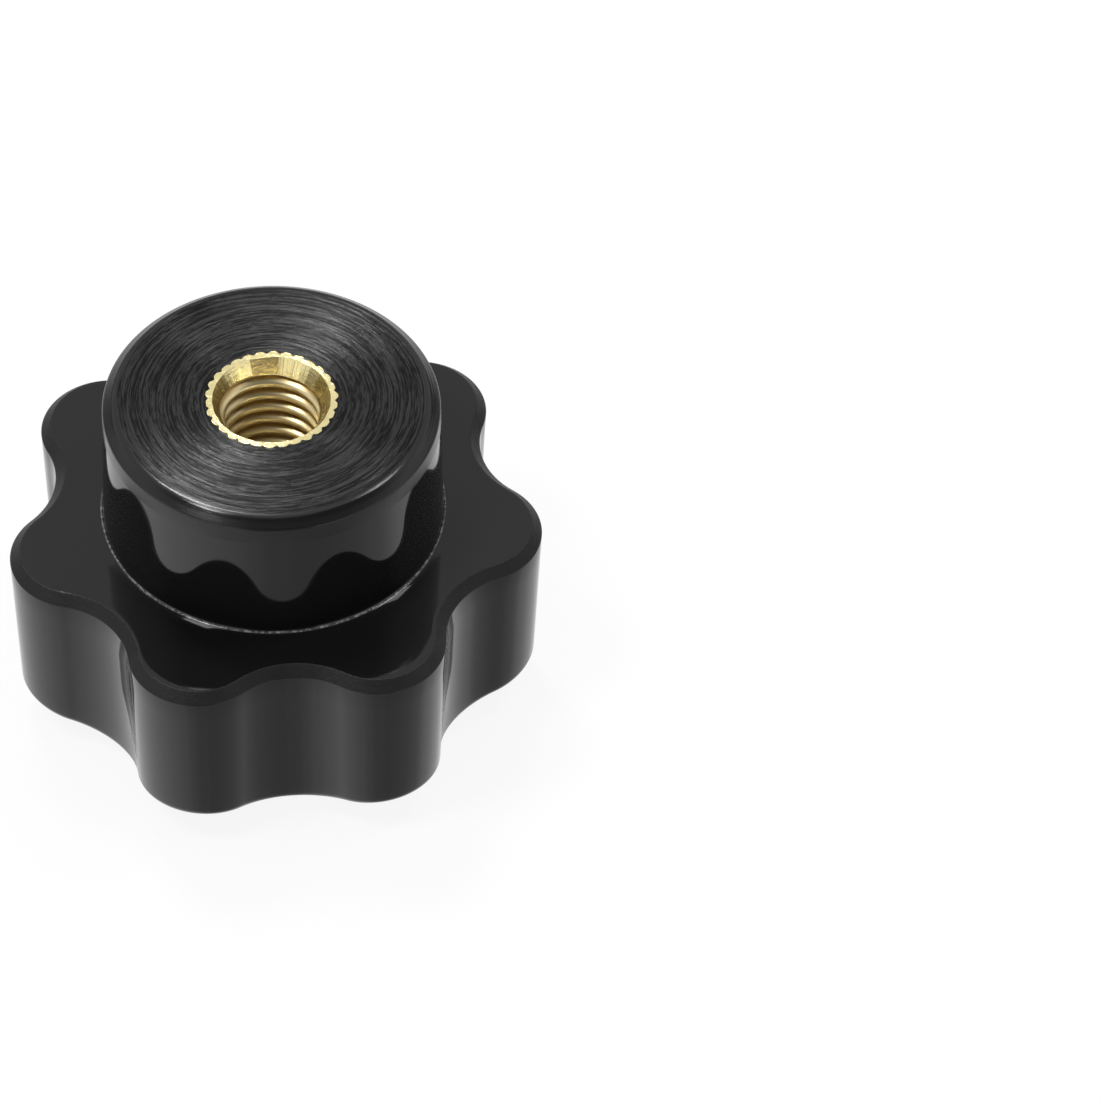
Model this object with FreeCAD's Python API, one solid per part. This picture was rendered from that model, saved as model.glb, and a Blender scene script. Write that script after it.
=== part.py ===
"""Seven-lobed star knob with a round hub and a moulded-in brass bush.

The knob lies on its crown with the hub up. The origin is the centre of the hub's turned end
face, where the knob seats on the work, and +Z is the thread axis, out of the hub. A valley
of the grip faces -Y and a lobe faces +Y. All sizes are in millimetres and degrees.
"""
import FreeCAD, Part
import math
import os

# Grip: the outline is seven lobe arcs joined by seven valley arcs, all tangent
lobe_count = 7
tip_radius = 20.0
valley_radius = 16.45
lobe_radius = 5.1
wall_draft = 1.45
overall_height = 28.0
dome_radius = 54.0
crown_edge_radius = 1.1
underside_chamfer = 0.75

# Hub: a drafted boss, its end face and the bevel round it turned after moulding
hub_length = 11.2
hub_base_radius = 12.6
hub_draft = 1.7
hub_bevel_width = 0.85
hub_bevel_height = 0.7
hub_root_radius = 0.25

# Crown hole: a core hole that reaches the inner end of the bush
crown_hole_radius = 7.0
crown_hole_edge_radius = 0.4

# Bush: M8 x 1.25, modelled with its tapping bore
bush_length = 14.0
bush_radius = 4.9
bush_bore_radius = 3.4
knurl_teeth = 30
knurl_depth = 0.27
knurl_land = 0.25
groove_radius = 4.4
groove_width = 3.0
countersink_radius = 4.32
countersink_angle = 60.0
bush_inner_chamfer = 0.4

AXIS = FreeCAD.Vector(0, 0, 1)
ORIGIN = FreeCAD.Vector(0, 0, 0)

# Heights, down from the hub's end face
underside_z = -hub_length
crown_z = -overall_height
bush_end_z = -bush_length


def point(radius, angle, z):
    """A point given by its radius and its angle in degrees from +X."""
    turn = math.radians(angle)
    return FreeCAD.Vector(radius * math.cos(turn), radius * math.sin(turn), z)


def valley_arc_radius():
    """Radius of the valley arc that is tangent to both lobes and touches the valley circle."""
    centre = tip_radius - lobe_radius
    reach = centre * math.cos(math.pi / lobe_count)
    top = lobe_radius ** 2 - centre ** 2 - valley_radius ** 2 + 2 * reach * valley_radius
    return top / (2 * (valley_radius - reach - lobe_radius))


def star_wire(inset, z):
    """The grip's outline, moved inwards by inset, at height z."""
    valley_arc = valley_arc_radius()
    lobe_centre = tip_radius - lobe_radius
    valley_centre = valley_radius + valley_arc
    step = 360.0 / lobe_count
    share = (lobe_radius - inset) / (lobe_radius + valley_arc)
    edges = []
    for number in range(lobe_count):
        lobe_angle = 90.0 + number * step
        lobe = point(lobe_centre, lobe_angle, z)
        before = point(valley_centre, lobe_angle - step / 2, z)
        after = point(valley_centre, lobe_angle + step / 2, z)
        following = point(lobe_centre, lobe_angle + step, z)
        start = lobe + (before - lobe) * share
        end = lobe + (after - lobe) * share
        resume = following + (after - following) * share
        tip = point(tip_radius - inset, lobe_angle, z)
        bottom = point(valley_radius - inset, lobe_angle + step / 2, z)
        edges.append(Part.Arc(start, tip, end).toShape())
        edges.append(Part.Arc(end, bottom, resume).toShape())
    return Part.Wire(edges)


def revolved(points_and_arcs):
    """A solid turned about Z from (radius, z) points. Three points in a row tuple are an arc."""
    edges = []
    for item in points_and_arcs:
        corners = [FreeCAD.Vector(radius, 0, z) for radius, z in item]
        if len(corners) == 3:
            edges.append(Part.Arc(*corners).toShape())
        else:
            edges.append(Part.LineSegment(*corners).toShape())
    face = Part.Face(Part.Wire(edges))
    return face.revolve(ORIGIN, AXIS, 360)


def on_arc(centre_radius, centre_z, radius, angle):
    """A (radius, z) point of a rounding, given its centre, its radius and the direction."""
    turn = math.radians(angle)
    return (centre_radius + radius * math.cos(turn), centre_z + radius * math.sin(turn))


def ring_edges(shape, radius, z, reach):
    """Circular edges of a shape near a given radius and height."""
    found = []
    for edge in shape.Edges:
        box = edge.BoundBox
        circular = abs(box.XMax - radius) < reach and abs(box.YMax - radius) < reach
        if circular and abs(box.ZMin - z) < reach and abs(box.ZMax - z) < reach:
            found.append(edge)
    return found


def dome_centre_z():
    """Height of the crown's centre, where the rim of the crown hole just reaches the bottom."""
    rim_radius = crown_hole_radius + crown_hole_edge_radius
    rise = math.sqrt((dome_radius - crown_hole_edge_radius) ** 2 - rim_radius ** 2)
    return crown_z + crown_hole_edge_radius + rise


def make_grip():
    """The lobed grip with drafted walls, a chamfered underside and a domed crown."""
    wall_height = overall_height - hub_length - underside_chamfer
    wall_inset = wall_height * math.tan(math.radians(wall_draft))
    sections = [
        star_wire(wall_inset, crown_z),
        star_wire(0.0, underside_z - underside_chamfer),
        star_wire(underside_chamfer, underside_z),
    ]
    block = Part.makeLoft(sections, True, True)
    dome = Part.makeSphere(dome_radius, FreeCAD.Vector(0, 0, dome_centre_z()))
    grip = block.common(dome)
    crown = [face for face in grip.Faces if isinstance(face.Surface, Part.Sphere)]
    crown_edges = [edge for face in crown for edge in face.OuterWire.Edges]
    return grip.makeFillet(crown_edge_radius, crown_edges)


def make_hub():
    """The drafted hub, with its turned bevel, down to the middle of the grip."""
    root_z = (underside_z + crown_z) / 2
    slope = math.tan(math.radians(hub_draft))
    root = hub_base_radius + (underside_z - root_z) * slope
    side_z = -hub_bevel_height
    side = hub_base_radius - (side_z - underside_z) * slope
    face = side - hub_bevel_width
    return revolved([
        ((0, root_z), (root, root_z)),
        ((root, root_z), (side, side_z)),
        ((side, side_z), (face, 0)),
        ((face, 0), (0, 0)),
        ((0, 0), (0, root_z)),
    ])


def make_crown_hole():
    """The core hole from the crown to the inner end of the bush, with its rounded rim."""
    rim_radius = crown_hole_radius + crown_hole_edge_radius
    rim_z = crown_z + crown_hole_edge_radius
    lean = math.degrees(math.asin(rim_radius / (dome_radius - crown_hole_edge_radius)))
    on_dome = on_arc(rim_radius, rim_z, crown_hole_edge_radius, lean - 90)
    middle = on_arc(rim_radius, rim_z, crown_hole_edge_radius, lean / 2 - 135)
    below = crown_z - crown_hole_edge_radius
    return revolved([
        ((0, below), (on_dome[0], below)),
        ((on_dome[0], below), on_dome),
        (on_dome, middle, (crown_hole_radius, rim_z)),
        ((crown_hole_radius, rim_z), (crown_hole_radius, bush_end_z)),
        ((crown_hole_radius, bush_end_z), (0, bush_end_z)),
        ((0, bush_end_z), (0, below)),
    ])


def knurled_face(z):
    """Section of the knurl: flat lands round the bush with a groove after each."""
    step = 360.0 / knurl_teeth
    half_land = math.degrees(knurl_land / bush_radius) / 2
    corners = []
    for tooth in range(knurl_teeth):
        angle = tooth * step
        corners.append(point(bush_radius, angle - half_land, z))
        corners.append(point(bush_radius, angle + half_land, z))
        corners.append(point(bush_radius - knurl_depth, angle + step / 2, z))
    corners.append(corners[0])
    return Part.Face(Part.makePolygon(corners))


def make_bush_blank():
    """Outside of the bush: a straight knurl with a plain holding groove half way along."""
    blank = knurled_face(bush_end_z).extrude(FreeCAD.Vector(0, 0, bush_length))
    groove_z = (bush_end_z - groove_width) / 2
    outside = Part.makeCylinder(bush_radius + knurl_depth, groove_width,
                                FreeCAD.Vector(0, 0, groove_z), AXIS)
    inside = Part.makeCylinder(groove_radius, groove_width,
                               FreeCAD.Vector(0, 0, groove_z), AXIS)
    return blank.cut(outside.cut(inside))


def make_threaded_insert(blank):
    """The brass bush: its blank with the bore, the countersink and the inner chamfer."""
    half_angle = math.radians(countersink_angle / 2)
    cone_depth = (countersink_radius - bush_bore_radius) / math.tan(half_angle)
    inner_radius = bush_bore_radius + bush_inner_chamfer
    bore = revolved([
        ((0, bush_end_z), (inner_radius, bush_end_z)),
        ((inner_radius, bush_end_z), (bush_bore_radius, bush_end_z + bush_inner_chamfer)),
        ((bush_bore_radius, bush_end_z + bush_inner_chamfer), (bush_bore_radius, -cone_depth)),
        ((bush_bore_radius, -cone_depth), (countersink_radius, 0)),
        ((countersink_radius, 0), (0, 0)),
        ((0, 0), (0, bush_end_z)),
    ])
    return blank.cut(bore)


def make_knob_body(blank):
    """The moulding: grip and hub as one piece, its core hole, and the bush's seat."""
    body = make_grip().fuse(make_hub()).removeSplitter()
    root = ring_edges(body, hub_base_radius, underside_z, hub_root_radius / 2)
    body = body.makeFillet(hub_root_radius, root)
    return body.cut(make_crown_hole()).cut(blank)


def main():
    os.makedirs("parts", exist_ok=True)
    blank = make_bush_blank()
    pieces = {
        "knob_body": make_knob_body(blank),
        "threaded_insert": make_threaded_insert(blank),
    }
    for name, shape in pieces.items():
        shape.exportStep("parts/" + name + ".step")
        print(name, "valid", shape.isValid(), "solids", len(shape.Solids),
              "volume", round(shape.Volume, 1), "box", shape.BoundBox)


main()
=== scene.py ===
"""Star knob: the finish of its black moulding and its brass bush, and a plain white studio.

Everything is in metres, in the knob's own frame: the hub's turned end face is at z = 0, +Z is
the thread axis, out of the hub, and the knob lies on its crown. A lobe points to +Y.
"""
import math

import bmesh
import bpy
import numpy as np
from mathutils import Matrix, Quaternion, Vector


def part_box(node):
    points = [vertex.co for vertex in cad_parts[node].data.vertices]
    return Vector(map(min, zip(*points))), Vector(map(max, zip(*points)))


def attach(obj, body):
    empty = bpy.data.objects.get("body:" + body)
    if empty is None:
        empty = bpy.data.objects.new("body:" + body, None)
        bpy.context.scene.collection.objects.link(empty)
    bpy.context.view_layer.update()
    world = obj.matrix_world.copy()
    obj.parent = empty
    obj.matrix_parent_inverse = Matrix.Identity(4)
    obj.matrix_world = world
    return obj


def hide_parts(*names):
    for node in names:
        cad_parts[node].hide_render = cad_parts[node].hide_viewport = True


bl_info = {
    "name": "Star knob",
    "version": (1, 0, 0),
    "blender": (4, 5, 0),
    "location": "3D View > Sidebar > Star knob",
    "description": "Builds a lobed phenolic knob with a brass bush, and its studio",
    "category": "Object",
}

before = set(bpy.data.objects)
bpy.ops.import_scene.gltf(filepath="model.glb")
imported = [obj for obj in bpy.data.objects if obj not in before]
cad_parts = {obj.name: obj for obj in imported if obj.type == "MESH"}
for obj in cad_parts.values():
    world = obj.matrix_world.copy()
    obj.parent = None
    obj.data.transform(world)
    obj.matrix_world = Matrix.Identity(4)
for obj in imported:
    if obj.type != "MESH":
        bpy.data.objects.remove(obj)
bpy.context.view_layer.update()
BODY_LOW, BODY_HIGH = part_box("knob_body")
CROWN_Z = BODY_LOW.z
BUSH_END_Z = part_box("threaded_insert")[0].z
KNOB_MIDDLE = Vector((0.0, 0.0, (BODY_LOW.z + BODY_HIGH.z) / 2))

MM = 0.001
LOBES = 7
LOBE_DIRECTION = math.pi / 2

# Columns round the axis: both numbers divide by the teeth of the knurl
BODY_COLUMNS = 840
BUSH_COLUMNS = 360

# Points nearer than this are one, and an edge that turns more than this is sharp
MERGE_REACH = 1e-7
SHARP_ANGLE = math.radians(38)

# Seed of the uneven wear of the knurl's teeth
WEAR_SEED = 7


def length(name, description, millimetres):
    """A size that a user may change, given in millimetres and kept in metres."""
    return bpy.props.FloatProperty(name=name, description=description, unit="LENGTH",
                                   subtype="DISTANCE", precision=5, min=0.0,
                                   default=millimetres * MM)


def angle(name, description, degrees):
    """An angle that a user may change, given in degrees and kept in radians."""
    return bpy.props.FloatProperty(name=name, description=description, unit="ROTATION",
                                   subtype="ANGLE", default=math.radians(degrees))


def share(name, description, value, highest=1.0):
    """A plain number from nothing to its highest value."""
    return bpy.props.FloatProperty(name=name, description=description, subtype="FACTOR",
                                   default=value, min=0.0, max=highest)


def colour(name, description, red, green, blue):
    """A linear colour."""
    return bpy.props.FloatVectorProperty(name=name, description=description, size=3,
                                         subtype="COLOR", min=0.0, max=1.0,
                                         default=(red, green, blue))


class MouldingSizes(bpy.types.PropertyGroup):
    """Sizes of the black moulding."""
    tip_radius: length("Tip radius", "Axis to the tips of the lobes", BODY_HIGH.y / MM)
    valley_radius: length("Valley radius", "Axis to the bottoms of the valleys", 16.45)
    lobe_radius: length("Lobe radius", "Radius of the arc round a lobe's tip", 5.1)
    wall_draft: angle("Wall draft", "Taper of the grip's walls", 1.45)
    dome_radius: length("Dome radius", "Radius of the crown's dome", 54.0)
    crown_edge_radius: length("Crown edge", "Rounding between crown and walls", 1.1)
    underside_chamfer: length("Chamfer", "Scraped chamfer round the underside", 0.75)
    hub_length: length("Hub length", "End face to the grip's underside", 11.2)
    hub_base_radius: length("Hub base radius", "Radius of the hub at the underside", 12.6)
    hub_draft: angle("Hub draft", "Taper of the hub", 1.7)
    bevel_width: length("Bevel width", "Turned bevel, across the end face", 0.85)
    bevel_height: length("Bevel height", "Turned bevel, along the hub", 0.7)
    hub_root_radius: length("Hub root", "Rounding where the hub meets the underside", 0.25)
    crown_hole_radius: length("Crown hole radius", "Radius of the core hole", 7.0)
    crown_hole_edge_radius: length("Crown hole edge", "Rounding of the hole's rim", 0.4)
    face_softness: length("Face softness", "Rounding between end face and bevel", 0.7)
    bevel_softness: length("Bevel softness", "Rounding between bevel and hub", 0.25)
    edge_softness: length("Edge softness", "Rounding of the scraped edges", 0.07)


class BushSizes(bpy.types.PropertyGroup):
    """Sizes of the brass bush, M8 x 1.25."""
    radius: length("Radius", "Axis to the tips of the knurl", 4.9)
    tooth_depth: length("Tooth depth", "Depth of the knurl", 0.27)
    tooth_land: length("Tooth land", "Width of a knurl tooth's tip", 0.25)
    tooth_wear: share("Tooth wear", "Most that a tooth lacks of its height", 0.45)
    groove_radius: length("Groove radius", "Radius in the holding groove", 4.4)
    groove_width: length("Groove width", "Width of the holding groove", 3.0)
    bore_radius: length("Bore radius", "Axis to the crests of the thread", 3.4)
    thread_pitch: length("Pitch", "Pitch of the thread", 1.25)
    thread_depth: length("Thread depth", "Depth of the thread in the bore's wall", 0.6)
    countersink_radius: length("Countersink radius", "Mouth of the countersink", 4.32)
    countersink_angle: angle("Countersink angle", "Full angle of the countersink", 60.0)
    inner_chamfer: length("Inner chamfer", "Chamfer at the bush's inner end", 0.4)
    rim_softness: length("Rim softness", "Easing of the knurl's outer corner", 0.03)
    seat_gap: length("Seat gap", "Gap between bush and moulding, for a clean edge", 0.01)
    teeth: bpy.props.IntProperty(name="Teeth", description="Teeth of the knurl", default=30)
    chatter: share("Chatter", "Flatness of the facets in the countersink", 0.75)


class Finishes(bpy.types.PropertyGroup):
    """Colours and gloss of the surfaces."""
    moulded_colour: colour("Moulded", "Colour of the glossy moulding", 0.007, 0.007, 0.0073)
    moulded_roughness: share("Moulded roughness", "Roughness of the moulded skin", 0.045)
    # The pale line at the hub's foot is flash residue and a painted highlight, in one colour
    foot_depth: length("Foot depth", "End face to the pale flash at the hub's foot", 11.2)
    foot_reach: length("Foot reach", "Axis to the outside of that flash", 12.9)
    turned_colour: colour("Turned", "Colour of the turned end face", 0.006, 0.006, 0.0062)
    turned_roughness: share("Turned roughness", "Roughness of the turned end face", 0.3)
    bevel_roughness: share("Bevel roughness", "Roughness of the turned bevel", 0.2)
    scraped_colour: colour("Scraped", "Colour of the scraped chamfer", 0.009, 0.009, 0.009)
    scraped_roughness: share("Scraped roughness", "Roughness of the chamfer", 0.5)
    brass_colour: colour("Brass", "Colour of the bush", 0.87, 0.76, 0.4)
    thread_colour: colour("Thread", "Colour of the thread's flanks", 0.98, 0.84, 0.5)
    # Painted shade in the thread's roots; the scores in the countersink take this colour too
    root_shade_and_score_colour: colour("Thread roots", "Colour in the roots of the thread", 0.33, 0.22, 0.09)
    brass_roughness: share("Brass roughness", "Roughness of the bush", 0.24)


class Studio(bpy.types.PropertyGroup):
    """Camera, floor and light."""
    camera_azimuth: angle("Azimuth", "Camera's angle round the knob, from -Y", -3.47)
    camera_elevation: angle("Elevation", "Camera's angle above the floor", 47.74)
    camera_roll: angle("Roll", "Camera's turn about its own axis", -1.09)
    camera_distance: length("Distance", "Camera to the middle of the knob", 405.6)
    picture_scale: bpy.props.FloatProperty(
        name="Picture scale", description="Pixels of the picture for a millimetre of knob",
        default=13.428)
    sky_light: share("Sky", "Strength of the even light from all round", 0.4, 4.0)
    floor_glow: share("Floor glow", "Share of the floor's white that no shadow dims", 0.9)
    lamp_power: bpy.props.FloatProperty(
        name="Lamp power", description="Power of a full lamp, of which each lamp has its share",
        unit="POWER", default=1.6, min=0.0)


# Points and rings

def unit(vectors):
    """Vectors of length one."""
    return vectors / np.linalg.norm(vectors, axis=1)[:, None]


def polar(radius, angles):
    """Points at a radius and angles, as two columns."""
    radius = np.broadcast_to(radius, angles.shape)
    return np.column_stack([radius * np.cos(angles), radius * np.sin(angles)])


def columns(count):
    """The angles of evenly spaced columns round the axis."""
    return np.arange(count) * (2 * math.pi / count)


def ring(flat, z):
    """A ring of points in space from its flat points and its height or heights."""
    return np.column_stack([flat, np.broadcast_to(z, len(flat))])


def star_outline(sizes, angles):
    """The grip's outline where each column meets it, and its outward directions."""
    half_step = math.pi / LOBES
    lobe_centre = sizes.tip_radius - sizes.lobe_radius
    reach = lobe_centre * math.cos(half_step)
    top = (sizes.lobe_radius ** 2 - lobe_centre ** 2 - sizes.valley_radius ** 2
           + 2 * reach * sizes.valley_radius)
    valley_arc = top / (2 * (sizes.valley_radius - reach - sizes.lobe_radius))
    valley_centre = sizes.valley_radius + valley_arc
    to_valley = Vector((valley_centre * math.cos(half_step) - lobe_centre,
                        valley_centre * math.sin(half_step))).normalized()
    seam = math.atan2(sizes.lobe_radius * to_valley.y,
                      lobe_centre + sizes.lobe_radius * to_valley.x)
    turned = (angles - LOBE_DIRECTION) / (2 * half_step)
    lobe_angle = np.round(turned) * 2 * half_step + LOBE_DIRECTION
    off_lobe = angles - lobe_angle
    side = np.where(off_lobe < 0, -1.0, 1.0)
    off_lobe = np.abs(off_lobe)
    on_lobe = off_lobe < seam
    lobe_sine = np.where(on_lobe, lobe_centre * np.sin(off_lobe), 0.0)
    lobe_reach = lobe_centre * np.cos(off_lobe) + np.sqrt(sizes.lobe_radius ** 2 - lobe_sine ** 2)
    off_valley = half_step - off_lobe
    valley_sine = np.where(on_lobe, 0.0, valley_centre * np.sin(off_valley))
    valley_reach = valley_centre * np.cos(off_valley) - np.sqrt(valley_arc ** 2 - valley_sine ** 2)
    radius = np.where(on_lobe, lobe_reach, valley_reach)
    points = polar(radius, angles)
    from_lobe = points - polar(lobe_centre, lobe_angle)
    to_hollow = polar(valley_centre, lobe_angle + side * half_step) - points
    outward = np.where(on_lobe[:, None], from_lobe / sizes.lobe_radius, to_hollow / valley_arc)
    return points, unit(outward)


def rounded(before, corner, after, radius, steps):
    """Rings of a true circular rounding of the corner between two straight bands."""
    inward = unit(before - corner)
    outward = unit(after - corner)
    turn = math.pi - np.arccos(np.clip((inward * outward).sum(axis=1), -1.0, 1.0))
    reach = (radius * np.tan(turn / 2))[:, None]
    weight = np.cos(turn / 2)[:, None]
    start = corner + inward * reach
    end = corner + outward * reach
    rings = []
    for t in np.linspace(0.0, 1.0, steps + 1):
        middle = 2 * t * (1 - t) * weight
        total = (1 - t) ** 2 + middle + t ** 2
        rings.append(((1 - t) ** 2 * start + middle * corner + t ** 2 * end) / total)
    return rings


def between(first, last, steps):
    """Rings between two rings, without the two."""
    return [first + (last - first) * t for t in np.linspace(0.0, 1.0, steps + 2)[1:-1]]


def knurl_radius(bush, angles):
    """Radius of the knurl at each angle: worn lands on uneven teeth, a groove between."""
    pitch = 2 * math.pi / bush.teeth
    half_land = bush.tooth_land / bush.radius / 2
    off_tooth = np.abs((angles + pitch / 2) % pitch - pitch / 2)
    fall = np.clip((off_tooth - half_land) / (pitch / 2 - half_land), 0.0, 1.0)
    tooth = np.floor((angles + pitch / 2) / pitch).astype(int) % bush.teeth
    wear = np.random.RandomState(WEAR_SEED).uniform(0.0, bush.tooth_wear, bush.teeth)[tooth]
    return bush.radius - bush.tooth_depth * np.maximum(fall, wear)


def closed_mesh(name, rings, finishes):
    """A mesh of quads between rings, the last joined to the first, with its finishes."""
    count = len(rings[0])
    vertices = np.concatenate(rings)
    ring_index = np.arange(len(rings))[:, None] * count
    next_ring = np.roll(ring_index, -1, axis=0)
    column = np.arange(count)[None, :]
    next_column = np.roll(column, -1, axis=1)
    quads = np.stack([ring_index + column, next_ring + column,
                      next_ring + next_column, ring_index + next_column], axis=-1)
    mesh = bpy.data.meshes.new(name)
    mesh.from_pydata(vertices.tolist(), [], quads.reshape(-1, 4).tolist())
    mesh.polygons.foreach_set("material_index", np.repeat(finishes, count).astype(np.int32))
    mesh.polygons.foreach_set("use_smooth", np.ones(len(mesh.polygons), bool))
    mesh.update()
    mesh.set_sharp_from_angle(angle=SHARP_ANGLE)
    return mesh


def show(name, mesh, node, materials):
    """Puts a finished piece in the scene, in place of its plain CAD solid."""
    piece = bpy.data.objects.new(name, mesh)
    bpy.context.scene.collection.objects.link(piece)
    for material in materials:
        mesh.materials.append(material)
    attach(piece, "root")
    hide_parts(node)


# The moulding's surfaces. Each is a band of rings with its finish, and the last number in
# its line is its count of steps

MOULDED, TURNED, BEVEL, SCRAPED = range(4)

# Passes that settle the crown's edge on both wall and dome, and rings of the hole's rim
CROWN_PASSES = 12
RIM_RINGS = 9


def hub_rings(sizes, seat, angles):
    """Turned end face, bevel and drafted side of the hub, from the bush outwards."""
    slope = math.tan(sizes.hub_draft)
    underside = -sizes.hub_length
    side_radius = sizes.hub_base_radius - (sizes.hub_length - sizes.bevel_height) * slope
    face_edge = ring(polar(side_radius - sizes.bevel_width, angles), 0.0)
    bevel_foot = ring(polar(side_radius, angles), -sizes.bevel_height)
    root = ring(polar(sizes.hub_base_radius, angles), underside)
    beyond = ring(polar(sizes.tip_radius, angles), underside)
    return [
        (TURNED, [seat] + between(seat, face_edge, 5)),
        (BEVEL, rounded(seat, face_edge, bevel_foot, sizes.face_softness, 6)),
        (BEVEL, between(face_edge, bevel_foot, 3)),
        (BEVEL, rounded(face_edge, bevel_foot, root, sizes.bevel_softness, 4)),
        (MOULDED, between(bevel_foot, root, 7)),
        (MOULDED, rounded(bevel_foot, root, beyond, sizes.hub_root_radius, 5)),
    ]


def crown_hole_rim(sizes, angles):
    """The rounded rim from dome to hole, and the height of the dome's centre above it."""
    soft = sizes.crown_hole_edge_radius
    rim_radius = sizes.crown_hole_radius + soft
    rim_z = CROWN_Z + soft
    rise = math.sqrt((sizes.dome_radius - soft) ** 2 - rim_radius ** 2)
    lean = math.asin(rim_radius / (sizes.dome_radius - soft))
    rim = []
    for turn in np.linspace(lean - math.pi / 2, -math.pi, RIM_RINGS):
        radius = rim_radius + soft * math.cos(turn)
        rim.append(ring(polar(radius, angles), rim_z + soft * math.sin(turn)))
    return rim, rim_z + rise


def grip_rings(sizes, angles):
    """Flat underside, scraped chamfer, drafted walls, crown and crown hole."""
    outline, outward = star_outline(sizes, angles)
    underside = -sizes.hub_length
    wall_top = underside - sizes.underside_chamfer
    slope = math.tan(sizes.wall_draft)
    rim, dome_z = crown_hole_rim(sizes, angles)

    def on_dome(flat):
        return dome_z - np.sqrt(sizes.dome_radius ** 2 - (flat ** 2).sum(axis=1))

    def wall(z):
        inset = (wall_top - z) * slope
        return outline - outward * np.reshape(inset, (-1, 1))

    hub_edge = ring(polar(sizes.hub_base_radius + sizes.hub_root_radius, angles), underside)
    chamfer_in = ring(outline - outward * sizes.underside_chamfer, underside)
    chamfer_out = ring(outline, wall_top)
    edge_z = np.full(len(angles), CROWN_Z)
    for _ in range(CROWN_PASSES):
        edge_z = on_dome(wall(edge_z))
    crown_edge = ring(wall(edge_z), edge_z)
    crown_flat = crown_edge[:, :2] - outward * sizes.crown_edge_radius
    crown_in = ring(crown_flat, on_dome(crown_flat))
    crown_rounding = rounded(chamfer_out, crown_edge, crown_in, sizes.crown_edge_radius, 12)
    dome = [ring(flat, on_dome(flat))
            for flat in between(crown_rounding[-1][:, :2], rim[0][:, :2], 18)]
    hole_end = ring(polar(sizes.crown_hole_radius, angles), BUSH_END_Z)
    soft = sizes.edge_softness
    return [
        (MOULDED, between(hub_edge, chamfer_in, 8)),
        (SCRAPED, rounded(hub_edge, chamfer_in, chamfer_out, soft, 3)),
        (SCRAPED, between(chamfer_in, chamfer_out, 3)),
        (MOULDED, rounded(chamfer_in, chamfer_out, crown_edge, soft, 3)),
        (MOULDED, between(chamfer_out, crown_edge, 6)),
        (MOULDED, crown_rounding),
        (MOULDED, dome),
        (MOULDED, rim),
        (MOULDED, between(rim[-1], hole_end, 4) + [hole_end]),
    ]


def bush_outside(bush, angles, gap):
    """Rings of the knurl and its holding groove, from the inner end to the hub's face."""
    knurl = polar(knurl_radius(bush, angles) - gap, angles)
    groove = polar(bush.groove_radius - gap, angles)
    groove_low = (BUSH_END_Z - bush.groove_width) / 2
    groove_high = (BUSH_END_Z + bush.groove_width) / 2
    return [ring(knurl, BUSH_END_Z), ring(knurl, groove_low), ring(groove, groove_low),
            ring(groove, groove_high), ring(knurl, groove_high), ring(knurl, 0.0)]


def build_moulding(sizes, bush):
    """The whole moulding as one closed skin."""
    angles = columns(BODY_COLUMNS)
    seat = bush_outside(bush, angles, 0.0)
    bands = hub_rings(sizes, seat[-1], angles) + grip_rings(sizes, angles)
    bands.append((MOULDED, seat[:-1]))
    rings = [one for _, band in bands for one in band]
    finishes = [finish for finish, band in bands for _ in band]
    return closed_mesh("moulding", rings, finishes)


# The bush's surfaces

# The thread in shares of its pitch: its rows, where it starts, half its crest, half its root
# and the easing of their corners
THREAD_STEPS = (0.0, 0.06, 0.11, 0.14, 0.17, 0.27, 0.37, 0.41, 0.44, 0.5,
                0.56, 0.59, 0.63, 0.73, 0.83, 0.86, 0.89, 0.94)
THREAD_START = 0.05
CREST_HALF = 0.14
ROOT_HALF = 0.07
CORNER = 0.05

# Where the countersink's chatter facets meet, in degrees round the axis
FACET_EDGES = (2, 15, 30, 44, 54, 72, 79, 108, 114, 125, 133, 141, 154, 167, 180, 194, 209,
               222, 236, 251, 269, 284, 300, 317, 329, 346)


def thread_form(phase):
    """Depth of the thread from 0 at its crest to 1 at its root, with eased corners."""
    off_crest = np.abs((phase + 0.5) % 1.0 - 0.5)
    run = 0.5 - CREST_HALF - ROOT_HALF
    total = np.zeros_like(off_crest)
    for shift in (-CORNER, 0.0, CORNER):
        total += np.clip((off_crest + shift - CREST_HALF) / run, 0.0, 1.0)
    return total / 3


def facet_share(angles, flatness):
    """Share of a round radius that a ring of uneven, nearly flat facets has at each angle."""
    edges = np.radians(FACET_EDGES + (FACET_EDGES[0] + 360,))
    turned = (angles - edges[0]) % (2 * math.pi) + edges[0]
    facet = np.clip(np.searchsorted(edges, turned, side="right") - 1, 0, len(edges) - 2)
    half = (edges[facet + 1] - edges[facet]) / 2
    off_middle = turned - edges[facet] - half
    return 1.0 - flatness * (1.0 - np.cos(half) / np.cos(off_middle))


def bore_rows(bush, angles):
    """Rows of points down the bore. They follow the helix, and stop at its two ends."""
    cone_slope = math.tan(bush.countersink_angle / 2)
    facets = facet_share(angles, bush.chatter)
    turns = math.ceil(-BUSH_END_Z / bush.thread_pitch) + 1
    along_turn = angles / (2 * math.pi)
    rows = []
    for turn in range(turns):
        for step in THREAD_STEPS:
            z = np.clip(bush.thread_pitch * (along_turn - turn - step), BUSH_END_Z, 0.0)
            depth = thread_form(THREAD_START + along_turn - z / bush.thread_pitch)
            radius = np.maximum.reduce([
                bush.bore_radius + bush.thread_depth * depth,
                bush.countersink_radius * facets + z * cone_slope,
                bush.bore_radius + bush.inner_chamfer - (z - BUSH_END_Z)])
            rows.append(ring(polar(radius, angles), z))
    return rows


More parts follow.
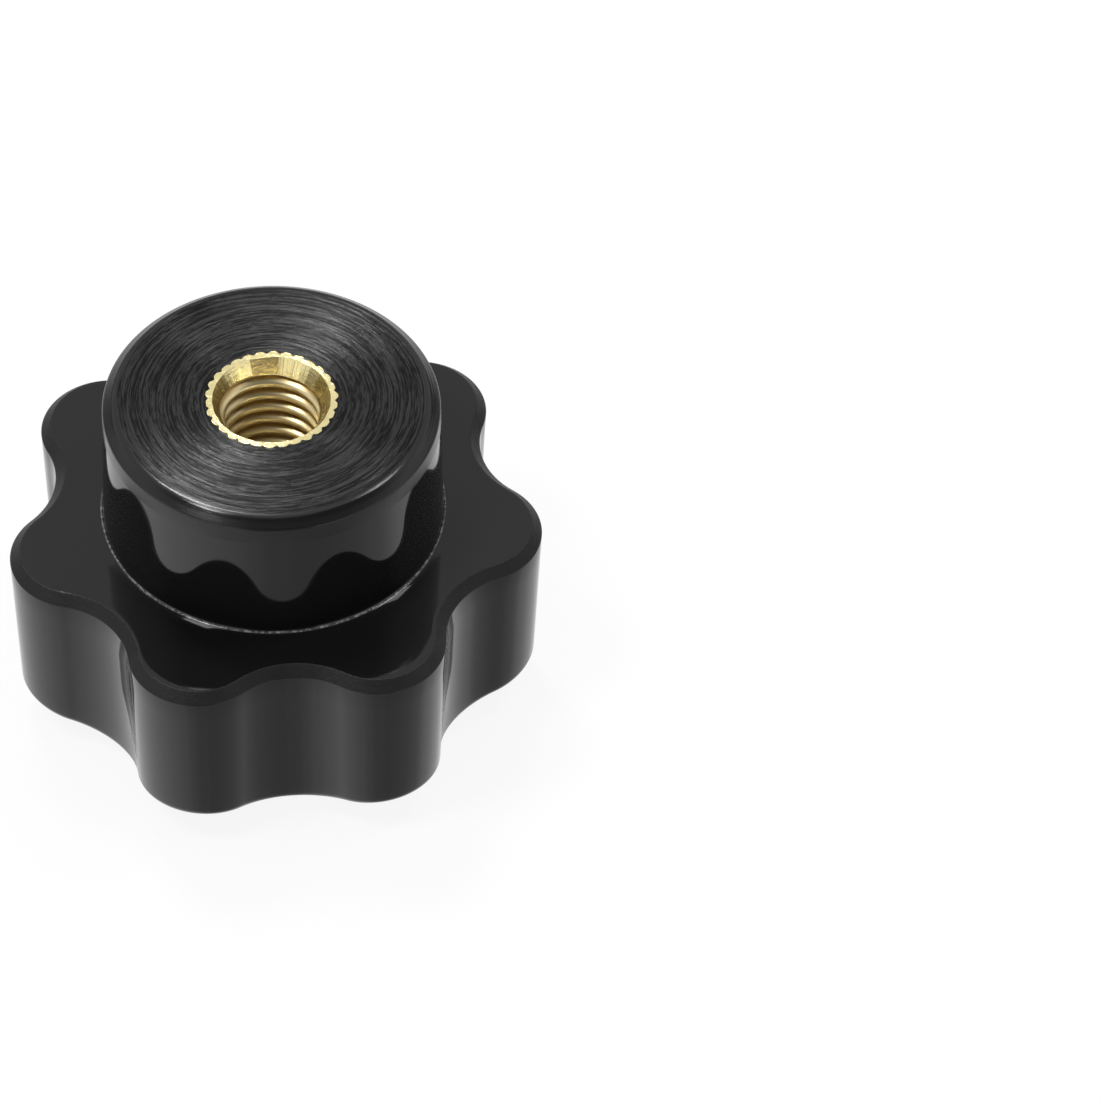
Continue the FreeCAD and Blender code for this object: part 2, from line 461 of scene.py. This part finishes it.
def build_bush(bush):
    """The bush: its knurled outside, its rim, its countersink and its thread."""
    angles = columns(BUSH_COLUMNS)
    shell = bush_outside(bush, angles, bush.seat_gap)
    shell[-1] = shell[-1] - np.array([0.0, 0.0, bush.rim_softness])
    shell.append(bush_outside(bush, angles, bush.seat_gap + bush.rim_softness)[-1])
    rings = shell + bore_rows(bush, angles)
    first_row = len(shell)
    last_row = len(rings) - 1
    column = np.arange(BUSH_COLUMNS)
    following = (column + 1) % BUSH_COLUMNS
    faces = []

    def join(first, second, shift=0):
        """Quads between two rings; past the last column a helix is one turn further back."""
        wrapped = np.where(following == 0, -shift * BUSH_COLUMNS, 0)
        a = first * BUSH_COLUMNS
        b = second * BUSH_COLUMNS
        quads = np.stack([a + column, a + following + wrapped,
                          b + following + wrapped, b + column], axis=-1)
        kept = quads.min(axis=1) >= (first_row * BUSH_COLUMNS if shift else 0)
        faces.extend(quads[kept].tolist())

    for one in range(first_row):
        join(one, one + 1)
    for one in range(first_row, last_row):
        join(one, one + 1, len(THREAD_STEPS))
    join(last_row, 0)
    mesh = bpy.data.meshes.new("bush")
    mesh.from_pydata(np.concatenate(rings).tolist(), [], faces)
    clean(mesh)
    return mesh


def clean(mesh):
    """Merges points that coincide, drops what has no area, and turns all faces outwards."""
    work = bmesh.new()
    work.from_mesh(mesh)
    bmesh.ops.remove_doubles(work, verts=work.verts, dist=MERGE_REACH)
    bmesh.ops.dissolve_degenerate(work, edges=work.edges, dist=MERGE_REACH)
    loose = [vertex for vertex in work.verts if not vertex.link_faces]
    bmesh.ops.delete(work, geom=loose, context="VERTS")
    bmesh.ops.recalc_face_normals(work, faces=work.faces)
    for face in work.faces:
        face.smooth = True
    for edge in work.edges:
        edge.smooth = len(edge.link_faces) == 2 and edge.calc_face_angle() < SHARP_ANGLE
    work.to_mesh(mesh)
    work.free()


# Steps of a shader

# Directions, and the shares of a vector that are left when it is laid level
UP = (0.0, 0.0, 1.0)
RIGHT = (1.0, 0.0, 0.0)
FRONT = (0.0, -1.0, 0.0)
LEVEL = (1.0, 1.0, 0.0)


def connect(tree, value, socket):
    """Sets a socket to a value, or links it to another node's socket."""
    if isinstance(value, bpy.types.NodeSocket):
        tree.links.new(value, socket)
    else:
        socket.default_value = value


def math_node(tree, operation, *values):
    """One math step. Its values are numbers or sockets."""
    node = tree.nodes.new("ShaderNodeMath")
    node.operation = operation
    for value, socket in zip(values, node.inputs):
        connect(tree, value, socket)
    return node.outputs[0]


def product(tree, first, *others):
    """Several values multiplied."""
    for value in others:
        first = math_node(tree, "MULTIPLY", first, value)
    return first


def rest_of(tree, value):
    """What a share leaves of 1."""
    return math_node(tree, "SUBTRACT", 1.0, value)


def vector_node(tree, operation, *values):
    """One vector step. Its values are vectors or sockets."""
    node = tree.nodes.new("ShaderNodeVectorMath")
    node.operation = operation
    for value, socket in zip(values, node.inputs):
        connect(tree, value, socket)
    return node.outputs["Value"] if operation in ("LENGTH", "DOT_PRODUCT") else node.outputs[0]


def part_along(tree, vector, direction):
    """How far a vector reaches in a direction."""
    return vector_node(tree, "DOT_PRODUCT", vector, direction)


def noise_node(tree, place, scale, detail, roughness):
    """Smooth noise between 0 and 1."""
    node = tree.nodes.new("ShaderNodeTexNoise")
    connect(tree, place, node.inputs["Vector"])
    connect(tree, scale, node.inputs["Scale"])
    node.inputs["Detail"].default_value = detail
    node.inputs["Roughness"].default_value = roughness
    return node.outputs["Fac"]


def map_range(tree, value, from_low, from_high, to_low, to_high):
    """A value carried smoothly from one range to another, and held at its ends."""
    node = tree.nodes.new("ShaderNodeMapRange")
    node.interpolation_type = "SMOOTHSTEP"
    for given, socket in zip((value, from_low, from_high, to_low, to_high), node.inputs):
        connect(tree, given, socket)
    return node.outputs["Result"]


def mixed(tree, share_of_second, first, second):
    """A blend of two colours, each a plain colour or a socket."""
    node = tree.nodes.new("ShaderNodeMix")
    node.data_type = "RGBA"
    connect(tree, share_of_second, node.inputs["Factor"])
    for tint, socket in ((first, node.inputs[6]), (second, node.inputs[7])):
        connect(tree, tint if isinstance(tint, bpy.types.NodeSocket) else (*tint, 1.0), socket)
    return node.outputs[2]


def object_place(tree):
    """The shaded point in the knob's own frame."""
    return tree.nodes.new("ShaderNodeTexCoord").outputs["Object"]


def round_axis(tree, place):
    """Distance of a point from the axis, and its direction from it."""
    flat = vector_node(tree, "MULTIPLY", place, LEVEL)
    return vector_node(tree, "LENGTH", flat), vector_node(tree, "NORMALIZE", flat)


# Shader effects, each a group that several finishes share

def new_group(name, inputs, outputs):
    """An empty shader node group with float inputs and outputs."""
    group = bpy.data.node_groups.new(name, "ShaderNodeTree")
    for socket, value in inputs.items():
        made = group.interface.new_socket(name=socket, in_out="INPUT",
                                          socket_type="NodeSocketFloat")
        made.default_value = value
    for socket in outputs:
        group.interface.new_socket(name=socket, in_out="OUTPUT", socket_type="NodeSocketFloat")
    return group, group.nodes.new("NodeGroupInput"), group.nodes.new("NodeGroupOutput")


def turning_marks(name):
    """Rings left by a cutter round the axis: fine, uneven and here and there broken."""
    group, given, out = new_group(name, {"Pitch": 0.16 * MM, "Breaks": 2.0}, ("Height", "Slow"))
    radius, direction = round_axis(group, object_place(group))
    rings = math_node(group, "DIVIDE", radius, given.outputs["Pitch"])
    around = vector_node(group, "MULTIPLY", direction, given.outputs["Breaks"])
    place = vector_node(group, "ADD", around, vector_node(group, "MULTIPLY", UP, rings))
    fine = noise_node(group, place, scale=1.0, detail=3.0, roughness=0.6)
    slow = noise_node(group, place, scale=0.22, detail=1.0, roughness=0.5)
    group.links.new(fine, out.inputs["Height"])
    group.links.new(slow, out.inputs["Slow"])
    return group


def surface_grain(name):
    """Fine even grain, and broad patches about eight times its size."""
    group, given, out = new_group(name, {"Scale": 6000.0}, ("Height", "Patches"))
    place = object_place(group)
    fine = noise_node(group, place, given.outputs["Scale"], detail=3.0, roughness=0.65)
    patches = math_node(group, "MULTIPLY", given.outputs["Scale"], 0.12)
    broad = noise_node(group, place, patches, detail=2.0, roughness=0.5)
    group.links.new(fine, out.inputs["Height"])
    group.links.new(broad, out.inputs["Patches"])
    return group


EFFECTS = {"turning_marks": turning_marks, "surface_grain": surface_grain}


def shared_effects():
    """The node groups of all effects by name, each built once."""
    return {name: bpy.data.node_groups.get(name) or build(name)
            for name, build in EFFECTS.items()}


def add_effect(tree, group, **values):
    """Places an effect in a material, with the material's own values."""
    node = tree.nodes.new("ShaderNodeGroup")
    node.node_tree = group
    for socket, value in values.items():
        node.inputs[socket].default_value = value
    return node


# Finishes

# The pale line at the hub's foot, flash residue and a painted highlight: where it starts and ends
# over the underside, how softly it ends outwards, and how many times it is paler than the moulding
FOOT_LINE_START = (0.005 * MM, 0.03 * MM)
FOOT_LINE_END = (0.07 * MM, 0.13 * MM)
FOOT_LINE_FADE = 0.1 * MM
FLASH_AND_HIGHLIGHT_PALENESS = 40.0

# Where the brass changes: height of the topmost thread, the radii over which painted shade darkens
# the thread towards its roots, and the bright skin of the bush's end
THREAD_TOP = (-1.45 * MM, -1.2 * MM)
ROOT_SHADE_SPAN = (3.45 * MM, 3.85 * MM)
END_SKIN = (-0.06 * MM, -0.02 * MM)


def new_finish(name, tint, roughness, metallic=0.0, specular=0.5):
    """A material with its shader's even values set."""
    material = bpy.data.materials.new(name)
    material.use_nodes = True
    tree = material.node_tree
    shader = tree.nodes["Principled BSDF"]
    shader.inputs["Base Color"].default_value = (*tint, 1.0)
    shader.inputs["Roughness"].default_value = roughness
    shader.inputs["Metallic"].default_value = metallic
    shader.inputs["Specular IOR Level"].default_value = specular
    material.diffuse_color = (*tint, 1.0)
    return material, tree, shader


def bumped(tree, shader, height, depth):
    """Raises a surface by a height map of the given depth in metres."""
    node = tree.nodes.new("ShaderNodeBump")
    node.inputs["Strength"].default_value = 1.0
    node.inputs["Distance"].default_value = depth
    connect(tree, height, node.inputs["Height"])
    tree.links.new(node.outputs["Normal"], shader.inputs["Normal"])


def tinted(tree, shader, value, tint, low, high):
    """Varies a surface's colour between two shares of its tint."""
    both = mixed(tree, value, [part * low for part in tint], [part * high for part in tint])
    tree.links.new(both, shader.inputs["Base Color"])


def roughened(tree, shader, value, span, roughness, low, high):
    """Varies a surface's roughness between two shares of it, as a value crosses its span."""
    rough = map_range(tree, value, *span, roughness * low, roughness * high)
    tree.links.new(rough, shader.inputs["Roughness"])


def brushed_round(tree, shader, amount):
    """Stretches highlights across the cutter's rings, a quarter turn from their direction."""
    shader.inputs["Anisotropic"].default_value = amount
    shader.inputs["Anisotropic Rotation"].default_value = 0.25
    tangent = tree.nodes.new("ShaderNodeTangent")
    tangent.direction_type = "RADIAL"
    tangent.axis = "Z"
    tree.links.new(tangent.outputs[0], shader.inputs["Tangent"])


def flash_and_painted_highlight(tree, looks):
    """Share of the broken pale line where the hub meets the underside: flash residue, and a
    painted highlight along the corner.
    """
    place = object_place(tree)
    height = part_along(tree, place, UP)
    radius, _ = round_axis(tree, place)
    foot = -looks.foot_depth
    above = map_range(tree, height, foot + FOOT_LINE_START[0], foot + FOOT_LINE_START[1], 0.0, 1.0)
    below = map_range(tree, height, foot + FOOT_LINE_END[0], foot + FOOT_LINE_END[1], 1.0, 0.0)
    near = map_range(tree, radius, looks.foot_reach, looks.foot_reach + FOOT_LINE_FADE, 1.0, 0.0)
    breakup = noise_node(tree, place, scale=2600.0, detail=3.0, roughness=0.7)
    broken = map_range(tree, breakup, 0.45, 0.62, 0.15, 1.0)
    return product(tree, above, below, near, broken)


def moulded_finish(looks, effects):
    """Glossy black phenolic, as it left the mould: faint waves and a faint haze."""
    material, tree, shader = new_finish("phenolic_moulded", looks.moulded_colour,
                                        looks.moulded_roughness)
    grain = add_effect(tree, effects["surface_grain"], Scale=900.0)
    patches = grain.outputs["Patches"]
    bumped(tree, shader, patches, 0.004 * MM)
    roughened(tree, shader, patches, (0.35, 0.75), looks.moulded_roughness, 1.0, 2.2)
    # Paler colour at the hub's foot: flash residue, and a painted highlight along that corner
    tinted(tree, shader, flash_and_painted_highlight(tree, looks), looks.moulded_colour, 1.0, FLASH_AND_HIGHLIGHT_PALENESS)
    return material


def turned_finish(looks, effects):
    """The hub's end face: dull, dark grey, with the cutter's uneven rings."""
    material, tree, shader = new_finish("phenolic_turned", looks.turned_colour,
                                        looks.turned_roughness, specular=0.62)
    marks = add_effect(tree, effects["turning_marks"], Pitch=0.1 * MM, Breaks=8.0)
    rings = add_effect(tree, effects["turning_marks"], Pitch=0.15 * MM, Breaks=1.8)
    both = math_node(tree, "MULTIPLY_ADD", marks.outputs["Height"], 0.7, rings.outputs["Height"])
    bumped(tree, shader, both, 0.06 * MM)
    # The colour is near black, so Metallic does no more than take the gloss out of the grooves
    grooves = map_range(tree, both, 0.76, 0.96, 0.75, 0.0)
    tree.links.new(grooves, shader.inputs["Metallic"])
    roughened(tree, shader, marks.outputs["Slow"], (0.3, 0.7), looks.turned_roughness, 0.85, 1.15)
    brushed_round(tree, shader, 0.9)
    return material


def bevel_finish(looks, effects):
    """The bevel round the end face: turned too, but finer and nearly polished."""
    material, tree, shader = new_finish("phenolic_bevel", looks.moulded_colour,
                                        looks.bevel_roughness)
    marks = add_effect(tree, effects["turning_marks"], Pitch=0.1 * MM, Breaks=1.2)
    bumped(tree, shader, marks.outputs["Height"], 0.015 * MM)
    roughened(tree, shader, marks.outputs["Slow"], (0.3, 0.7), looks.bevel_roughness, 0.7, 1.2)
    brushed_round(tree, shader, 0.7)
    return material


def scraped_finish(looks, effects):
    """The chamfer round the underside, where the flash was scraped off by hand."""
    material, tree, shader = new_finish("phenolic_scraped", looks.scraped_colour,
                                        looks.scraped_roughness, specular=0.32)
    grain = add_effect(tree, effects["surface_grain"], Scale=3600.0)
    bumped(tree, shader, grain.outputs["Height"], 0.05 * MM)
    tinted(tree, shader, grain.outputs["Patches"], looks.scraped_colour, 0.4, 1.4)
    return material


def brass_finish(looks, effects):
    """Bright turned brass: chatter and scores in the countersink, painted brown shade in the
    thread's roots.
    """
    material, tree, shader = new_finish("brass", looks.brass_colour, looks.brass_roughness,
                                        metallic=1.0)
    place = object_place(tree)
    height = part_along(tree, place, UP)
    radius, direction = round_axis(tree, place)
    in_thread = map_range(tree, height, *THREAD_TOP, 1.0, 0.0)
    in_cone = rest_of(tree, in_thread)
    marks = add_effect(tree, effects["turning_marks"], Pitch=0.14 * MM, Breaks=3.0)
    chatter = noise_node(tree, direction, scale=14.0, detail=3.0, roughness=0.6)
    both = math_node(tree, "MULTIPLY_ADD", chatter, 0.6, marks.outputs["Height"])
    bumped(tree, shader, product(tree, both, in_cone), 0.03 * MM)
    # Painted shade: the thread darkens to brown from its flanks into its roots
    root = product(tree, map_range(tree, radius, *ROOT_SHADE_SPAN, 0.0, 1.0), in_thread)
    streaks = noise_node(tree, direction, scale=22.0, detail=2.0, roughness=0.6)
    lines = map_range(tree, streaks, 0.58, 0.66, 0.0, 0.5)
    rings = map_range(tree, marks.outputs["Height"], 0.58, 0.68, 0.0, 0.4)
    under_skin = map_range(tree, height, *END_SKIN, 1.0, 0.0)
    scored = product(tree, math_node(tree, "MAXIMUM", lines, rings), in_cone, under_skin)
    tint = mixed(tree, in_thread, looks.brass_colour, looks.thread_colour)
    # Painted shade in the thread's roots, and the scores' own dark colour in the countersink
    tint = mixed(tree, math_node(tree, "MAXIMUM", root, scored), tint, looks.root_shade_and_score_colour)
    tree.links.new(tint, shader.inputs["Base Color"])
    roughened(tree, shader, in_thread, (0.0, 1.0), looks.brass_roughness, 1.0, 1.3)
    return material


# In the order of MOULDED, TURNED, BEVEL and SCRAPED
MOULDING_FINISHES = (moulded_finish, turned_finish, bevel_finish, scraped_finish)


# The studio

# Edges of what gloss mirrors of the room, as parts of a direction to the front, up and aside
FRONT_WALLS = (-0.1, 0.35)
LOW_WALLS = (0.4, 0.6)
SIDE_PANELS = (0.27, 0.36)
TOP_PANEL = (0.9, 0.95)
BACK_STRIP = (0.2, 0.4)
FLOOR_HALVES = (-0.05, 0.05)
WHITE = (1.0, 1.0, 1.0)
WARM_WALL = (1.0, 0.8, 0.6)

# How bright the mirrored floor is, from behind the knob (-1) round to the camera's side (1)
FLOOR_ON_LEFT = ((-1.0, 1.0), (-0.5, 1.0), (0.0, 0.97), (0.37, 0.93), (0.67, 0.85), (0.87, 0.74),
                 (0.97, 0.58), (1.0, 0.47))
FLOOR_ON_RIGHT = ((-1.0, 1.0), (-0.5, 0.9), (0.0, 0.78), (0.37, 0.54), (0.67, 0.46), (0.87, 0.43),
                  (0.97, 0.42), (1.0, 0.47))

# The floor itself: gloss sees it only this near the axis, and the room's floor further out
FLOOR_REACH = 3.0
FLOOR_PAINT = (0.95, 0.95, 0.95, 1.0)
FLOOR_MIRRORED = (14.0 * MM, 17.5 * MM)

# Each lamp's degrees round the knob from -Y and above the floor, and its share of the power
LAMPS = {
    "key_left": (-70.0, 65.0, 0.75),
    "key_right": (106.0, 60.0, 0.35),
    "back_left": (-160.0, 65.0, 0.85),
}
LAMP_DISTANCE = 0.6
LAMP_SIZE = 0.12

# The photograph's frame, and where it shows the middle of the knob's axis, in pixels
PICTURE_SIDE = 1100
KNOB_ACROSS = 274.4
KNOB_DOWN = 523.9

# The camera's sensor in millimetres, and how near and far it sees in metres
SENSOR_WIDTH = 36.0
NEAREST_SEEN = 0.01
FARTHEST_SEEN = 20.0


def seen_directly(tree, path):
    """1 for what the camera sees, through glass too, and 0 for light and reflections."""
    return math_node(tree, "MAXIMUM", path.outputs["Is Camera Ray"],
                     path.outputs["Is Transmission Ray"])


def along_curve(tree, value, points):
    """A value from -1 to 1, carried through a smooth curve that is given by its points."""
    ramp = tree.nodes.new("ShaderNodeValToRGB")
    ramp.color_ramp.interpolation = "EASE"
    for place, _ in points[1:-1]:
        ramp.color_ramp.elements.new((place + 1.0) / 2)
    for element, (place, strength) in zip(ramp.color_ramp.elements, points):
        element.position = (place + 1.0) / 2
        element.color = (strength, strength, strength, 1.0)
    tree.links.new(math_node(tree, "MULTIPLY_ADD", value, 0.5, 0.5), ramp.inputs[0])
    return ramp.outputs["Color"]


def mirrored_room(tree, toward):
    """What gloss mirrors above the floor, grey walls and white panels, and where it is warm."""
    front = part_along(tree, toward, FRONT)
    up = part_along(tree, toward, UP)
    aside = math_node(tree, "ABSOLUTE", part_along(tree, toward, RIGHT))
    in_front = map_range(tree, front, *FRONT_WALLS, 0.0, 1.0)
    low = map_range(tree, up, *LOW_WALLS, 1.0, 0.0)
    high_front = product(tree, in_front, rest_of(tree, low))
    walls = product(tree, map_range(tree, front, *FRONT_WALLS, 0.62, 0.22),
                    map_range(tree, high_front, 0.0, 1.0, 1.0, 0.3))
    panels = math_node(tree, "MAXIMUM",
                       product(tree, map_range(tree, aside, *SIDE_PANELS, 0.0, 1.0), low),
                       map_range(tree, up, *TOP_PANEL, 0.0, 0.8))
    low_back = product(tree, map_range(tree, up, *BACK_STRIP, 0.88, 0.0), rest_of(tree, in_front))
    room = product(tree, math_node(tree, "MAXIMUM", walls, panels), rest_of(tree, low_back))
    return room, product(tree, in_front, rest_of(tree, panels), low)


def mirrored_floor(tree, toward):
    """What gloss mirrors below it: a white floor that greys towards the camera's side."""
    level = vector_node(tree, "NORMALIZE", vector_node(tree, "MULTIPLY", toward, LEVEL))
    front = part_along(tree, level, FRONT)
    on_right = map_range(tree, part_along(tree, level, RIGHT), *FLOOR_HALVES, 0.0, 1.0)
    return mixed(tree, on_right, along_curve(tree, front, FLOOR_ON_LEFT),
                 along_curve(tree, front, FLOOR_ON_RIGHT))


def world_light(studio):
    """White all round for what is seen, even light on the knob, and a room to mirror."""
    world = bpy.data.worlds.new("studio_light")
    bpy.context.scene.world = world
    world.use_nodes = True
    tree = world.node_tree
    background = tree.nodes["Background"]
    path = tree.nodes.new("ShaderNodeLightPath")
    glossy = path.outputs["Is Glossy Ray"]
    toward = tree.nodes.new("ShaderNodeTexCoord").outputs["Generated"]
    room, warm = mirrored_room(tree, toward)
    upper = math_node(tree, "GREATER_THAN", part_along(tree, toward, UP), 0.0)
    mirrored = math_node(tree, "ADD", product(tree, room, upper),
                         product(tree, mirrored_floor(tree, toward), rest_of(tree, upper)))
    strength = math_node(tree, "MULTIPLY_ADD", rest_of(tree, glossy), studio.sky_light,
                         product(tree, glossy, mirrored))
    strength = math_node(tree, "MAXIMUM", seen_directly(tree, path), strength)
    tree.links.new(strength, background.inputs["Strength"])
    tint = mixed(tree, product(tree, warm, upper, glossy), WHITE, WARM_WALL)
    tree.links.new(tint, background.inputs["Color"])


def mixed_shader(tree, share_of_second, first, second):
    """A blend of two shaders."""
    node = tree.nodes.new("ShaderNodeMixShader")
    for source, socket in zip((share_of_second, first, second), node.inputs):
        tree.links.new(source, socket)
    return node.outputs[0]


def floor_finish(studio):
    """White paint with a glow where it is seen, and nothing where gloss sees the room instead."""
    material = bpy.data.materials.new("white_floor")
    material.use_nodes = True
    tree = material.node_tree
    tree.nodes.remove(tree.nodes["Principled BSDF"])
    paint = tree.nodes.new("ShaderNodeBsdfDiffuse")
    paint.inputs["Color"].default_value = FLOOR_PAINT
    glow = tree.nodes.new("ShaderNodeEmission")
    clear = tree.nodes.new("ShaderNodeBsdfTransparent")
    path = tree.nodes.new("ShaderNodeLightPath")
    radius, _ = round_axis(tree, object_place(tree))
    further_out = map_range(tree, radius, *FLOOR_MIRRORED, 0.0, 1.0)
    glowing = product(tree, seen_directly(tree, path), studio.floor_glow)
    lit = mixed_shader(tree, glowing, paint.outputs[0], glow.outputs[0])
    surface = mixed_shader(tree, product(tree, further_out, path.outputs["Is Glossy Ray"]),
                           lit, clear.outputs[0])
    tree.links.new(surface, tree.nodes["Material Output"].inputs["Surface"])
    return material


def make_floor(studio):
    """A white floor that keeps the knob's soft shadow."""
    mesh = bpy.data.meshes.new("floor")
    corners = [(x * FLOOR_REACH, y * FLOOR_REACH, CROWN_Z)
               for x, y in ((-1, -1), (1, -1), (1, 1), (-1, 1))]
    mesh.from_pydata(corners, [], [(0, 1, 2, 3)])
    mesh.materials.append(floor_finish(studio))
    floor = bpy.data.objects.new("floor", mesh)
    bpy.context.scene.collection.objects.link(floor)


def away_from_knob(azimuth, elevation):
    """Direction out from the knob, by its angles round it from -Y and above the floor."""
    level = math.cos(elevation)
    return Vector((math.sin(azimuth) * level, -math.cos(azimuth) * level, math.sin(elevation)))


def add_lamp(name, back, power):
    """A square soft lamp that looks at the knob."""
    light = bpy.data.lights.new(name, "AREA")
    light.shape = "SQUARE"
    light.size = LAMP_SIZE
    light.energy = power
    lamp = bpy.data.objects.new(name, light)
    lamp.location = KNOB_MIDDLE + back * LAMP_DISTANCE
    lamp.rotation_mode = "QUATERNION"
    lamp.rotation_quaternion = (-back).to_track_quat("-Z", "Y")
    bpy.context.scene.collection.objects.link(lamp)


def aim_camera(studio):
    """The camera, aimed so that the knob falls where the photograph has it."""
    data = bpy.data.cameras.new("camera")
    camera = bpy.data.objects.new("camera", data)
    bpy.context.scene.collection.objects.link(camera)
    back = away_from_knob(studio.camera_azimuth, studio.camera_elevation)
    focal = studio.picture_scale * studio.camera_distance / MM
    aside = Vector(((KNOB_ACROSS - PICTURE_SIDE / 2) / focal,
                    (PICTURE_SIDE / 2 - KNOB_DOWN) / focal, -1.0))
    at_knob = (-back).to_track_quat("-Z", "Y")
    off_axis = aside.rotation_difference(Vector((0.0, 0.0, -1.0)))
    roll = Quaternion((0.0, 0.0, 1.0), studio.camera_roll)
    camera.location = KNOB_MIDDLE + back * studio.camera_distance
    camera.rotation_mode = "QUATERNION"
    camera.rotation_quaternion = at_knob @ off_axis @ roll
    data.sensor_width = SENSOR_WIDTH
    data.lens = focal * SENSOR_WIDTH / PICTURE_SIDE
    data.clip_start = NEAREST_SEEN
    data.clip_end = FARTHEST_SEEN
    bpy.context.scene.camera = camera


# Operators and panel

class STARKNOB_OT_moulding(bpy.types.Operator):
    """Build the black moulding"""
    bl_idname = "star_knob.moulding"
    bl_label = "Moulding"

    def execute(self, context):
        scene = context.scene
        effects = shared_effects()
        show("knob_moulding", build_moulding(scene.knob_moulding, scene.knob_bush),
             "knob_body",
             [finish(scene.knob_finishes, effects) for finish in MOULDING_FINISHES])
        return {"FINISHED"}


class STARKNOB_OT_bush(bpy.types.Operator):
    """Build the brass bush"""
    bl_idname = "star_knob.bush"
    bl_label = "Brass bush"

    def execute(self, context):
        scene = context.scene
        show("brass_bush", build_bush(scene.knob_bush), "threaded_insert",
             [brass_finish(scene.knob_finishes, shared_effects())])
        return {"FINISHED"}


class STARKNOB_OT_studio(bpy.types.Operator):
    """Build the floor, the lamps and the camera"""
    bl_idname = "star_knob.studio"
    bl_label = "Studio"

    def execute(self, context):
        studio = context.scene.knob_studio
        context.scene.view_settings.view_transform = "Standard"
        world_light(studio)
        make_floor(studio)
        for name, (azimuth, elevation, part) in LAMPS.items():
            back = away_from_knob(math.radians(azimuth), math.radians(elevation))
            add_lamp(name, back, studio.lamp_power * part)
        aim_camera(studio)
        return {"FINISHED"}


class STARKNOB_PT_panel(bpy.types.Panel):
    """Lists the knob's pieces"""
    bl_label = "Star knob"
    bl_space_type = "VIEW_3D"
    bl_region_type = "UI"
    bl_category = "Star knob"

    def draw(self, context):
        for operator in OPERATORS:
            self.layout.operator(operator.bl_idname)


GROUPS = {"knob_moulding": MouldingSizes, "knob_bush": BushSizes, "knob_finishes": Finishes,
          "knob_studio": Studio}
OPERATORS = (STARKNOB_OT_moulding, STARKNOB_OT_bush, STARKNOB_OT_studio)


def register():
    for name, group in GROUPS.items():
        bpy.utils.register_class(group)
        setattr(bpy.types.Scene, name, bpy.props.PointerProperty(type=group))
    for operator in OPERATORS:
        bpy.utils.register_class(operator)
    bpy.utils.register_class(STARKNOB_PT_panel)


def unregister():
    bpy.utils.unregister_class(STARKNOB_PT_panel)
    for operator in OPERATORS:
        bpy.utils.unregister_class(operator)
    for name, group in GROUPS.items():
        delattr(bpy.types.Scene, name)
        bpy.utils.unregister_class(group)


def main():
    register()
    bpy.ops.star_knob.moulding()
    bpy.ops.star_knob.bush()
    bpy.ops.star_knob.studio()


if __name__ == "__main__":
    main()
